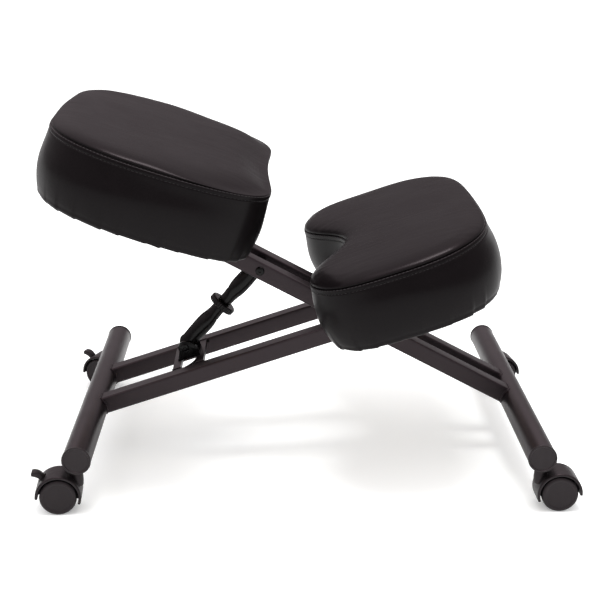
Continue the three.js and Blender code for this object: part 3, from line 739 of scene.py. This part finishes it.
def sewn(grid, rings, pattern, seed):
    """Adds what the cover shows after swelling: the seam, its ridge, the wrinkles and the gathers."""
    zones = np.array([zone for zone, *_ in rings])
    levels = np.array([height or 0 for *_, height in rings], float)
    from_seam = seam_distance(grid, list(zones))
    relief = -SEAM_DEPTH * np.exp(-(from_seam / SEAM_WIDTH) ** 2)
    relief -= TOPSTITCH_DEPTH * np.exp(-((from_seam + TOPSTITCH) / TOPSTITCH_WIDTH) ** 2)
    ridge = smoothstep((from_seam + TOPSTITCH) / 1.2) * (1 - smoothstep((from_seam + 2.2) / 1.6))
    relief += RIDGE * ridge
    outside = (zones == "side") | (zones == "top")
    offset = np.where(outside, relief, 0)[:, None] + wrinkles(grid, zones, pattern, from_seam)
    gathered = np.zeros(len(rings))
    gathered[zones == "fold"] = 1
    wrap_rows = np.where((zones == "wrap") & (levels <= WRAP_BOTTOM))[0]
    gathered[wrap_rows] = np.linspace(0.6, 1, len(wrap_rows))
    side_rows = zones == "side"
    gathered[side_rows] = np.exp(-(levels[side_rows] - FOLD) / 9)
    offset += gathered[:, None] * pleats(seed)[None]
    return grid + grid_normals(grid) * offset[..., None]


def wrinkles(grid, zones, pattern, from_seam):
    """Fine tension wrinkles on the top panel and soft waves and puckers on the side, in mm."""
    strength, spacing, length = pattern
    made = np.zeros(grid.shape[:2])
    for row in np.where((zones == "top") | (zones == "side"))[0]:
        on_top = zones[row] == "top"
        edge_fade = float(smoothstep(abs(from_seam[row]) / 12))
        for column in range(PAD_STEPS):
            x, y, z = grid[row, column]
            if on_top:
                bend = 10 * noise.noise((x / 90, y / 90, 3.7))
                fine = noise.noise((x / length, (y + bend) / spacing, 0.5))
                mask = max(0.0, noise.noise((x / 70, y / 60, 8.1)) + 0.35)
                made[row, column] = strength * edge_fade * mask * fine
            else:
                made[row, column] = 0.35 * noise.noise((x / 45, y / 45, z / 30))
    pucker = np.cos(np.arange(PAD_STEPS) * TURN / 5)
    near = np.exp(-(np.abs(from_seam + TOPSTITCH / 2) / 5) ** 2) * (zones == "side")
    return made + PUCKER * near[:, None] * pucker[None]


def stitch_row(path, outward):
    """Short rounded stitches laid along a closed path of points, sunk half into the cover."""
    ends, reach = travelled(path)
    whole = reach[-1]
    count = int(whole / (STITCH + STITCH_GAP))
    pitch = whole / count
    ways = np.vstack([outward, outward[:1]])
    points = []
    faces = []
    sides = 6
    # along, thickness and lift, as shares of a stitch's length and radius
    shape = [(-0.5, 0.35, -1.1), (-0.42, 0.8, -0.35), (0, 1, 0.25), (0.42, 0.8, -0.35), (0.5, 0.35, -1.1)]

    def at(rows, spot):
        return np.array([np.interp(spot % whole, reach, rows[:, k]) for k in range(3)])

    for i in range(count):
        first = len(points)
        for along, thick, lift in shape:
            spot = (i + 0.5) * pitch + along * (pitch - STITCH_GAP)
            centre = at(ends, spot)
            up = at(ways, spot)
            up /= np.linalg.norm(up)
            way = at(ends, spot + 0.5) - centre
            way /= max(np.linalg.norm(way), 1e-9)
            across = np.cross(way, up)
            for k in range(sides):
                angle = TURN * k / sides
                turn = across * cos(angle) + up * sin(angle)
                points.append(centre + up * lift * THREAD_RADIUS + turn * THREAD_RADIUS * thick)
        faces += capped_faces(len(shape), sides, first)
    return mesh_from(np.array(points) * MM, faces)


def staple_row(loop, normals):
    """Wire staples across the turned-in cover, in the pad's frame in mm."""
    parts = []
    half, wire, every, inset = 5, 0.55, 13, 17
    chance = np.random.default_rng(11)
    for spot, normal in zip(loop[::every], normals[::every]):
        middle = spot - normal * (inset + chance.uniform(-2, 2))
        skew = atan2(normal[1], normal[0]) + pi / 2 + chance.uniform(-0.25, 0.25)
        bar = extruded(rectangle(-half, -wire, half, wire), WRAP_BOTTOM - 0.75, WRAP_BOTTOM + 0.2, 0.2,
                       (0, 1, 2))
        place = Matrix.Translation((middle[0] * MM, middle[1] * MM, 0)) @ Matrix.Rotation(skew, 4, "Z")
        parts.append(placed(bar, place))
    return joined(*parts)


def add_pad(name, mount, body, pattern, seed):
    """A pad: its cover, two rows of stitches, staples and the board's finish."""
    node = f"{name}_cushion"
    place = pad_place(mount, SHAPES[name]["top"])
    loop = smooth_outline(node, place, SHAPES[name]["side"])
    grid, rings = pad_surface(loop, SHAPES[name])
    zones = [zone for zone, *_ in rings]
    hold = np.exp(-(seam_distance(grid, zones) / SEAM_HOLD) ** 2)
    grid = grid + swollen(grid, zones) * (1 - hold)[:, None, None]
    grid = sewn(grid, rings, pattern, seed)
    cover = placed(mesh_from(grid.reshape(-1, 3) * MM, grid_faces(*grid.shape[:2])), place)
    pad = finished(f"{name}_pad_cover", cover, LEATHER, body, node, 80)

    normals = grid_normals(grid)
    seam_row = zones.index("top") - 1
    for label, below in (("seam", 3), ("topstitch", round(TOPSTITCH / FINE_STEP))):
        row = seam_row - below
        stitches = placed(stitch_row(grid[row], normals[row]), place)
        finished(f"{name}_{label}_thread", stitches, THREAD, body, crease=80)
    staples = placed(staple_row(loop, outline_normals(loop)), place)
    finished(f"{name}_staples", staples, ZINC, body)
    tilt = atan2(place.col[2].x, place.col[2].z)
    polish(f"{name}_board", plywood(f"{name}_plywood", -tilt), 0.4)


# ---- tube frames

RAIL_SLOPES = {"outer": radians(18.57), "inner": radians(28.06)}
RAIL_HALF, RAIL_CORNER = 12.5, 2.5
TUBE_WALL = 1.5


def size_of(node):
    """A CAD node's size in mm and its middle in metres."""
    low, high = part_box(node)
    return (high - low) / MM, (low + high) / 2


def add_crossbar(name, body):
    """A round tube with a dished plastic plug in each end."""
    size, middle = size_of(f"{name}_crossbar")
    radius = size.x / 2
    half = size.y / 2
    wall = rectangle(radius - TUBE_WALL, -half, radius, half)
    tube = placed(revolved(fillet(wall + wall[:1], 0.5), 128), frame_at(middle, ACROSS, UP))
    finished(f"{name}_tube", tube, PAINT, body, f"{name}_crossbar")
    for side, sign in SIDES:
        node = f"{name}_{side}_end_cap"
        cap_size, cap_middle = size_of(node)
        outer = cap_size.x / 2
        plug = radius - TUBE_WALL - 0.3
        depth = cap_size.y
        face = 3
        tail = face - depth
        profile = fillet([(0, tail), (plug - 1, tail), (plug, tail + 2), (plug, 0), (outer, 0),
                          (outer, face), (outer - 2.6, face), (outer - 3, face - 1.1),
                          (0, face - 1.1)], 0.5)
        seat = Vector((middle.x, cap_middle.y + sign * (depth / 2 - face) * MM, middle.z))
        cap = placed(revolved(profile), frame_at(seat, ACROSS * sign, UP))
        finished(node + "_disc", cap, CAP_PLASTIC, body, node)


def weld_bead(name, path, radius, body):
    """A rippled fillet weld along a closed path of points in mm, riding on a body."""
    points = [Vector(p) for p in path]
    sides = 8
    ripple = 2.1
    rings = []
    travel = 0
    for i, point in enumerate(points):
        way = (points[(i + 1) % len(points)] - points[i - 1]).normalized()
        first = way.orthogonal().normalized()
        second = way.cross(first)
        travel += (point - points[i - 1]).length
        uneven = 0.16 * sin(TURN * travel / ripple)
        thick = radius * (1 + uneven + 0.1 * noise.noise(point * 0.4))
        for k in range(sides):
            angle = TURN * k / sides
            around = first * cos(angle) * thick + second * sin(angle) * thick
            rings.append((point + around) * MM)
    finished(name, mesh_from(rings, grid_faces(len(points), sides, closed=True)), WELD, body, crease=80)


def saddle_path(rail, bar, up_sign):
    """Where a square rail's skin meets a round crossbar, as points in mm round the joint."""
    rail_middle = size_of(rail)[1]
    bar_size, bar_middle = size_of(bar)
    radius = bar_size.x / 2
    half = RAIL_HALF
    slope = RAIL_SLOPES[rail.split("_")[0]]
    way = Vector((up_sign * cos(slope), 0, sin(slope)))
    above = way.cross(ACROSS).normalized() * (-up_sign)
    centre = Vector((bar_middle.x / MM, rail_middle.y / MM, bar_middle.z / MM))
    path = []
    steps = 96
    for i in range(steps):
        angle = TURN * i / steps
        reach = half / max(abs(cos(angle)), abs(sin(angle)))
        a = max(-half, min(half, reach * cos(angle)))
        b = max(-half, min(half, reach * sin(angle)))
        beyond = abs(a) + abs(b) - 2 * half + RAIL_CORNER
        pull = 1 - 0.06 * max(0.0, beyond / RAIL_CORNER)
        along = sqrt(radius ** 2 - min(abs(b), radius - 1) ** 2)
        path.append(centre + ACROSS * a * pull + above * b * pull + way * (along + 0.4))
    return path


def add_frame():
    for name, pair, way in (("seat_side", "outer", 1), ("knee_side", "inner", -1)):
        body = f"{pair}_frame"
        add_crossbar(name, body)
        for side, _ in SIDES:
            rail = f"{pair}_rail_{side}"
            polish(rail, PAINT)
            weld_bead(f"{rail}_weld", saddle_path(rail, f"{name}_crossbar", way), 1.3, body)


# ---- casters

ABOUT_AXLE = Matrix(((1, 0, 0, 0), (0, 0, 1, 0), (0, 1, 0, 0), (0, 0, 0, 1)))
HOOD_HALF = 19             # half the hood's width
HOOD_OUTER, HOOD_INNER = 31, 27.3
HOOD_WEB = 3.2             # half the wall between the wheels
AXLE_BORE = 3.3
STEM_GAP = 2.8             # from the tower's top to the crossbar


def add_hood(name, upright, trail):
    """A caster's hood: a shell turned about the axle, with a tower trail mm behind it for the stem."""
    half, outer, inner, web = HOOD_HALF, HOOD_OUTER, HOOD_INNER, HOOD_WEB
    bar_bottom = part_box("seat_side_crossbar")[0].z / MM
    tower_top = bar_bottom - STEM_GAP - upright.translation.z / MM
    behind = Matrix.Translation((-trail * MM, 0, 0))
    profile = [(inner, web), (inner, half), (outer - 1.2, half), (outer, half - 1.4),
               (outer, -half + 1.4), (outer - 1.2, -half), (inner, -half), (inner, -web),
               (AXLE_BORE, -web), (AXLE_BORE, web), (inner, web)]
    shell = revolved(fillet(profile, 0.9), start=radians(-2), sweep=radians(202))
    boss = cylinder(8, -web, web, 48)
    tower = revolved([(0, 11), (8.4, 11), (9, 18), (8.4, tower_top - 6), (7.6, tower_top),
                      (0, tower_top)], 64)
    hood = union(placed(shell, ABOUT_AXLE), placed(boss, ABOUT_AXLE), placed(tower, behind))
    rooms = [placed(cylinder(inner, low, high, 96), ABOUT_AXLE)
             for low, high in ((-half - 1, -web), (web, half + 1))]
    bore = placed(cylinder(AXLE_BORE, -40, 40, 32), ABOUT_AXLE)
    stem_hole = placed(cylinder(4.4, 16.7, 60, 32), behind)
    hood = cut(hood, *rooms, bore, stem_hole)
    if f"{name}_brake" in joints:
        pivot = upright.inverted() @ pivot_of(f"{name}_brake")
        angle = atan2(pivot.z, pivot.x)
        slot = extruded(rectangle(-5, -6.4, 6, 6.4), -6.4, 6.4)
        hood = cut(hood, placed(slot, Matrix.Translation(pivot) @ Matrix.Rotation(-angle, 4, "Y")))
    finished(f"{name}_hood_shell", placed(hood, upright), CASTER_PLASTIC, f"{name}_hood",
             f"{name}_caster_hood", 30)


def add_caster(name):
    """A twin-wheel caster, with its brake lever if it has one."""
    centre = pivot_of(f"{name}_left_roll")
    upright = frame_at(centre, UP, axis_of(f"{name}_left_roll"))
    add_hood(name, upright, (centre - pivot_of(f"{name}_swivel")).xy.length / MM)

    face = HOOD_HALF
    profile = [(0, face - 0.7), (19.5, face - 0.7), (20.2, face - 0.2), (22.6, face - 0.2),
               (23.4, face - 0.6), (25, face - 2.2), (25, 5.4), (23.4, 3.8), (20, 3.8), (18, 6.5),
               (8, 6.5), (7, 3.8), (AXLE_BORE, 3.8), (AXLE_BORE, 16.3), (0, 16.3)]
    for side, sign in (("left", 1), ("right", -1)):
        disc = revolved(fillet(profile, 0.7, 3), 120)
        place = upright @ Matrix.Rotation(-sign * pi / 2, 4, "X")
        finished(f"{name}_{side}_wheel_disc", placed(disc, place), CASTER_PLASTIC,
                 f"{name}_{side}_wheel", f"{name}_caster_{side}_wheel", 30)
    polish(f"{name}_caster_axle", ZINC)
    polish(f"{name}_caster_stem", ZINC, 0.3)
    if f"{name}_brake" in joints:
        add_lever(name, upright)


def curve_through(start, control, end, steps=10):
    """A quadratic curve as points, without its last one."""
    a, b, c = Vector(start), Vector(control), Vector(end)
    return [a * (1 - t) ** 2 + b * 2 * t * (1 - t) + c * t * t for t in (i / steps for i in range(steps))]


def add_lever(name, upright):
    """A brake's tab with three ribs, its curved foot in the hood, its neck and its trunnion."""
    pivot = pivot_of(f"{name}_brake")
    local = upright.inverted() @ pivot
    angle = atan2(local.z, local.x)
    half = 6
    tab = curve_through((0.6, -3.4), (4.5, 4.5), (14.5, 6.0))
    tab += curve_through((14.5, 6.0), (15.8, 8.6), (14, 12), 6)
    tab += curve_through((14, 12), (2, 14), (-3.6, -0.4))
    tab.append((-3.6, -0.4))
    parts = []
    for k in range(3):
        shift = 2.6 * k
        rib = curve_through((6.2 + shift, 10.6), (7 + shift, 12.9), (7.8 + shift, 10.9), 6)
        rib += [(7.8 + shift, 9), (6.2 + shift, 9)]
        parts.append(extruded(rib, 1 - half, half - 1, 0.3))
    centre = Vector((-local.x, -local.z)) / MM
    first, last = angle - radians(11), angle + radians(3)
    foot = []
    for radius, turns in ((27.0, np.linspace(first, last, 12)), (26.1, np.linspace(last, first, 12))):
        foot += [centre + Vector((cos(a), sin(a))) * radius for a in turns]
    parts.append(extruded(foot, -half, half))
    neck = extruded(rectangle(-2.7, -1.6, 1, 1.6), -half, half)
    parts.append(placed(neck, Matrix.Rotation(-angle, 4, "Y")))
    parts.append(placed(cylinder(1.2, -half - 2, half + 2, 24), SIDEWAYS))
    lever = union(extruded(tab, -half, half, 0.9), *parts)
    place = upright.copy()
    place.translation = pivot
    finished(f"{name}_brake_tab", placed(lever, place), CASTER_PLASTIC, f"{name}_lever",
             f"{name}_brake_lever", 40)


# ---- angle screw

def threaded_rod(half, radius, pitch, depth):
    """A stud with a left-hand thread below its middle and a right-hand one above."""
    sides = 36
    rows = int(2 * half / (pitch / 8))
    points = [(0, 0, -half * MM)]
    for row in range(rows + 1):
        z = -half + 2 * half * row / rows
        end_fade = min(1.0, (half - abs(z)) / 1.2)
        for k in range(sides):
            turn = k / sides * (1 if z > 0 else -1)
            phase = (abs(z) / pitch - turn) % 1
            groove = depth * (1 - min(1.0, 1.25 * abs(2 * phase - 1)))
            r = radius - groove - (1 - end_fade) * 1.1
            angle = TURN * k / sides
            points.append((r * cos(angle) * MM, r * sin(angle) * MM, z * MM))
    points.append((0, 0, half * MM))
    faces = grid_faces(rows + 1, sides, first=1)
    faces += [(0, 1 + (k + 1) % sides, 1 + k) for k in range(sides)]
    top = 1 + rows * sides
    faces += [(len(points) - 1, top + k, top + (k + 1) % sides) for k in range(sides)]
    return mesh_from(points, faces)


PIN_HOLE = (4.3, -30, 30)  # radius and reach


def yoke(neck_end, bore, eye_half):
    """A forked yoke about its pin, its neck along +Z."""
    profile = [(0, -9.5), (6, -8.5), (10, -4.5), (12, 6), (13, 26), (13.3, 38), (13.3, 44),
               (12.9, 51), (12, 57), (10.8, 62), (10.1, 67), (9.9, 73), (9.9, neck_end - 0.8),
               (9.1, neck_end), (0, neck_end)]
    eye = fillet([(0, -eye_half), (8, -eye_half), (8, eye_half), (0, eye_half)], 0.6)
    body = union(revolved(fillet(profile, 2.0), 72), placed(revolved(eye, 64), SIDEWAYS))
    fork_gap = extruded(rectangle(-20, -20, 20, 62), -5.5, 5.5)
    hole = cylinder(bore, 55, neck_end + 2, 48)
    body = cut(body, fork_gap, hole, placed(cylinder(*PIN_HOLE), SIDEWAYS))
    return beveled(body, 0.35, 50, 2)


def knurled_knob(radius, half, bore):
    """The hand disc, with shallow finger scallops round its rim."""
    steps, scallops, depth = 288, 36, 0.5
    profile = fillet([(bore, -half), (radius - 1.2, -half), (radius, -half + 1.2),
                      (radius, half - 1.2), (radius - 1.2, half), (bore, half), (bore, -half)], 1.0)
    disc = revolved(profile, steps)
    for vertex in disc.vertices:
        flat = vertex.co.xy.length / MM
        share = float(smoothstep((flat - radius + 2.4) / 1.6))
        angle = atan2(vertex.co.y, vertex.co.x)
        dip = depth * share * (0.5 + 0.5 * cos(scallops * angle))
        vertex.co.x *= (flat - dip) / flat
        vertex.co.y *= (flat - dip) / flat
    return disc


def pin(half_grip, node, body):
    """A headed pin along Y with a domed head and a small dimple."""
    head = 6.5
    reach = half_grip + 0.3
    half = [(4, reach), (head, reach), (head, reach + 1.3), (head - 1.2, reach + 2.2),
            (2, reach + 2.7), (1.2, reach + 2.1), (0, reach + 2)]
    profile = [(r, -z) for r, z in reversed(half)] + half
    turned = placed(revolved(fillet(profile, 0.5), 64), frame_at(size_of(node)[1], ACROSS, UP))
    finished(node + "_turned", turned, STEEL, body, node)


def bracket_ear(rear, front, rise):
    """An ear's outline, rounded about its pin."""
    ear = [(rear, 0), (front, 0), (front, 9)]
    ear += curve_through((front, 9), (front - 1.5, 22), (4, rise + 8.7))
    for angle in np.radians(np.linspace(65, 195, 16)):
        ear.append((9.6 * cos(angle), rise + 9.6 * sin(angle)))
    return ear


def bracket_foot(rear, front, outside, reach, sign):
    """The outline of a foot that flares from the channel out to a rail."""
    foot = curve_through((front, sign * (outside - 2)), (front + 2, sign * (reach - 8)),
                         (front + 9, sign * reach))
    foot.append((front + 9, sign * reach))
    foot += curve_through((rear + 6, sign * reach), (front - 8, sign * (reach - 10)),
                          (front - 8, sign * outside))
    return foot + [(front - 8, sign * (outside - 2))]


def add_bracket(pin_at):
    """The black channel with its flared feet, on two painted strips between the outer rails."""
    slope = RAIL_SLOPES["outer"]
    up = Vector((-sin(slope), 0, cos(slope)))
    rise = 18
    place = frame_at(pin_at - up * rise * MM, up, ACROSS)
    rear, front, inside, outside, reach = -16, 18.5, 14.6, 18.1, 46.2
    flat = (0, 1, 2)

    parts = []
    for sign in (-1, 1):
        low, high = sorted((sign * inside, sign * outside))
        parts.append(extruded(bracket_ear(rear, front, rise), low, high, 0.5))
        parts.append(extruded(bracket_foot(rear, front, outside, reach, sign), -5.5, -1.5, 0.4, flat))
    channel = union(extruded(rectangle(rear, 0, front, 3.5), -outside, outside), *parts)
    hole = placed(cylinder(*PIN_HOLE), Matrix.Translation((0, 0, rise * MM)) @ SIDEWAYS)
    finished("bracket_channel", placed(cut(channel, hole), place), STEEL, "outer_frame",
             "adjuster_bracket", 40)

    for label, low, high in (("rear", rear - 7, rear + 5), ("front", front - 6, front + 6)):
        corners = rectangle(low, -5, high, 0.4)
        strip = placed(extruded(corners, -reach, reach, 0.5), place)
        finished(f"bracket_{label}_strip", strip, PAINT, "outer_frame", "adjuster_bracket", 40)
        edge = [Vector(a).lerp(Vector(b), t) for a, b in zip(corners, corners[1:] + corners[:1])
                for t in np.linspace(0, 1, 12, endpoint=False)]
        for side, sign in SIDES:
            path = [place @ (Vector((x, sign * (reach - 0.2), z)) * MM) / MM for x, z in edge]
            weld_bead(f"bracket_{label}_{side}_weld", path, 1.1, "outer_frame")


def add_adjuster():
    slide = axis_of("screw_extension")
    lower = pivot_of("lower_screw_pivot")
    upper = pivot_of("upper_screw_pivot")
    length = (upper - lower).length / MM
    neck_end = length / 2 - 5.05
    for label, at, way, bore, eye_half in (("lower", lower, slide, 5.3, 14.3),
                                           ("upper", upper, -slide, 7, 17.2)):
        fork = placed(yoke(neck_end, bore, eye_half), frame_at(at, way, ACROSS))
        finished(f"{label}_fork", fork, STEEL, f"{label}_yoke", f"adjuster_{label}_yoke", 40)
    place = frame_at(pivot_of("knob_turn"), slide, ACROSS)
    stud = threaded_rod(length / 2 - 16, 5, 2, 0.9)
    finished("threaded_stud", placed(stud, place), ZINC, "stud", "adjuster_stud", 60)
    knob = knurled_knob(20.5, 4.75, 5.3)
    finished("hand_knob", placed(knob, place), STEEL, "knob", "adjuster_knob", 50)
    pin(18.1, "lower_pivot_pin", "outer_frame")
    pin(42.5, "upper_pivot_pin", "inner_frame")
    add_bracket(lower)


# ---- fasteners

def polish_fasteners():
    for node in ("main_pivot_bolt", "main_pivot_nut", "pivot_sleeve"):
        polish(node, ZINC, 0.4)
    for side, _ in SIDES:
        polish(f"rail_washer_{side}", CAP_PLASTIC, 0.2)
        for support in ("seat_rear", "seat_front", "knee_rear", "knee_front"):
            polish(f"{support}_screw_{side}", ZINC, 0.2)
    for node in ("seat_rear_strap", "seat_front_channel", "knee_rear_strap", "knee_front_strap"):
        polish(node, PAINT, 0.6)


# ---- studio

def add_light(name, at, towards, size, power, colour):
    light = added(name, bpy.data.lights.new(name, "AREA"))
    configure(light.data, shape="RECTANGLE", size=size[0], size_y=size[1], energy=power, color=colour)
    light.location = at
    light.rotation_mode = "QUATERNION"
    light.rotation_quaternion = (Vector(towards) - Vector(at)).to_track_quat("-Z", "Y")


def studio_world():
    """A soft, slightly warm room, brighter towards its ceiling, that looks plain white itself."""
    world = bpy.data.worlds.new("studio")
    world.use_nodes = True
    tree = world.node_tree
    way = tree.nodes.new("ShaderNodeTexCoord").outputs["Generated"]
    along = add_node(tree, "ShaderNodeVectorMath", {0: way, 1: (-0.1, 0.0, 0.995)},
                     operation="DOT_PRODUCT").outputs["Value"]
    level = add_node(tree, "ShaderNodeMapRange", {
        "Value": along, "From Min": 0.15, "From Max": 1.0, "To Min": 0.34, "To Max": 2.0}).outputs[0]
    room = tree.nodes["Background"]
    feed(tree, room.inputs["Color"], (1, 0.88, 0.92, 1))
    feed(tree, room.inputs["Strength"], level)
    plain = add_node(tree, "ShaderNodeBackground", {"Color": (1, 1, 1, 1)})
    seen = tree.nodes.new("ShaderNodeLightPath").outputs["Is Camera Ray"]
    mixed = add_node(tree, "ShaderNodeMixShader", {0: seen, 1: room.outputs[0], 2: plain.outputs[0]})
    feed(tree, tree.nodes["World Output"].inputs["Surface"], mixed.outputs[0])
    return world


def add_studio():
    scene = bpy.context.scene
    scene.view_settings.view_transform = "Standard"
    scene.world = studio_world()
    reach = 60.0
    corners = [(x, y, 0) for x, y in rectangle(-reach, -reach, reach, reach)]
    floor = added("floor", mesh_from(corners, [(0, 1, 2, 3)]))
    look = Look("floor_paint", Specular_IOR_Level=0.1, Emission_Color=(1, 1, 1, 1),
                Emission_Strength=0.28)
    tone = look.noise(0.8, 3)
    floor.data.materials.append(look.put(
        Base_Color=look.blend(tone, (0.82, 0.93, 0.89, 1), (0.85, 0.96, 0.92, 1)),
        Roughness=look.spread(tone, 0.85, 0.95)))
    floor.location.z = -0.5 * MM
    add_light("top_light", (0.1, -0.3, 2.4), (0, 0, 0.25), (1.1, 0.6), 46, (1, 0.9, 0.93))


# ---- the chair

add_camera()
add_studio()
add_pad("seat", mounts["seat_top"], "inner_frame", (0.35, 11, 60), 3)
add_pad("knee", mounts["knee_top"], "outer_frame", (0.7, 8, 55), 5)
add_frame()
add_adjuster()
polish_fasteners()
for corner in ("seat_near", "seat_far", "knee_near", "knee_far"):
    add_caster(corner)
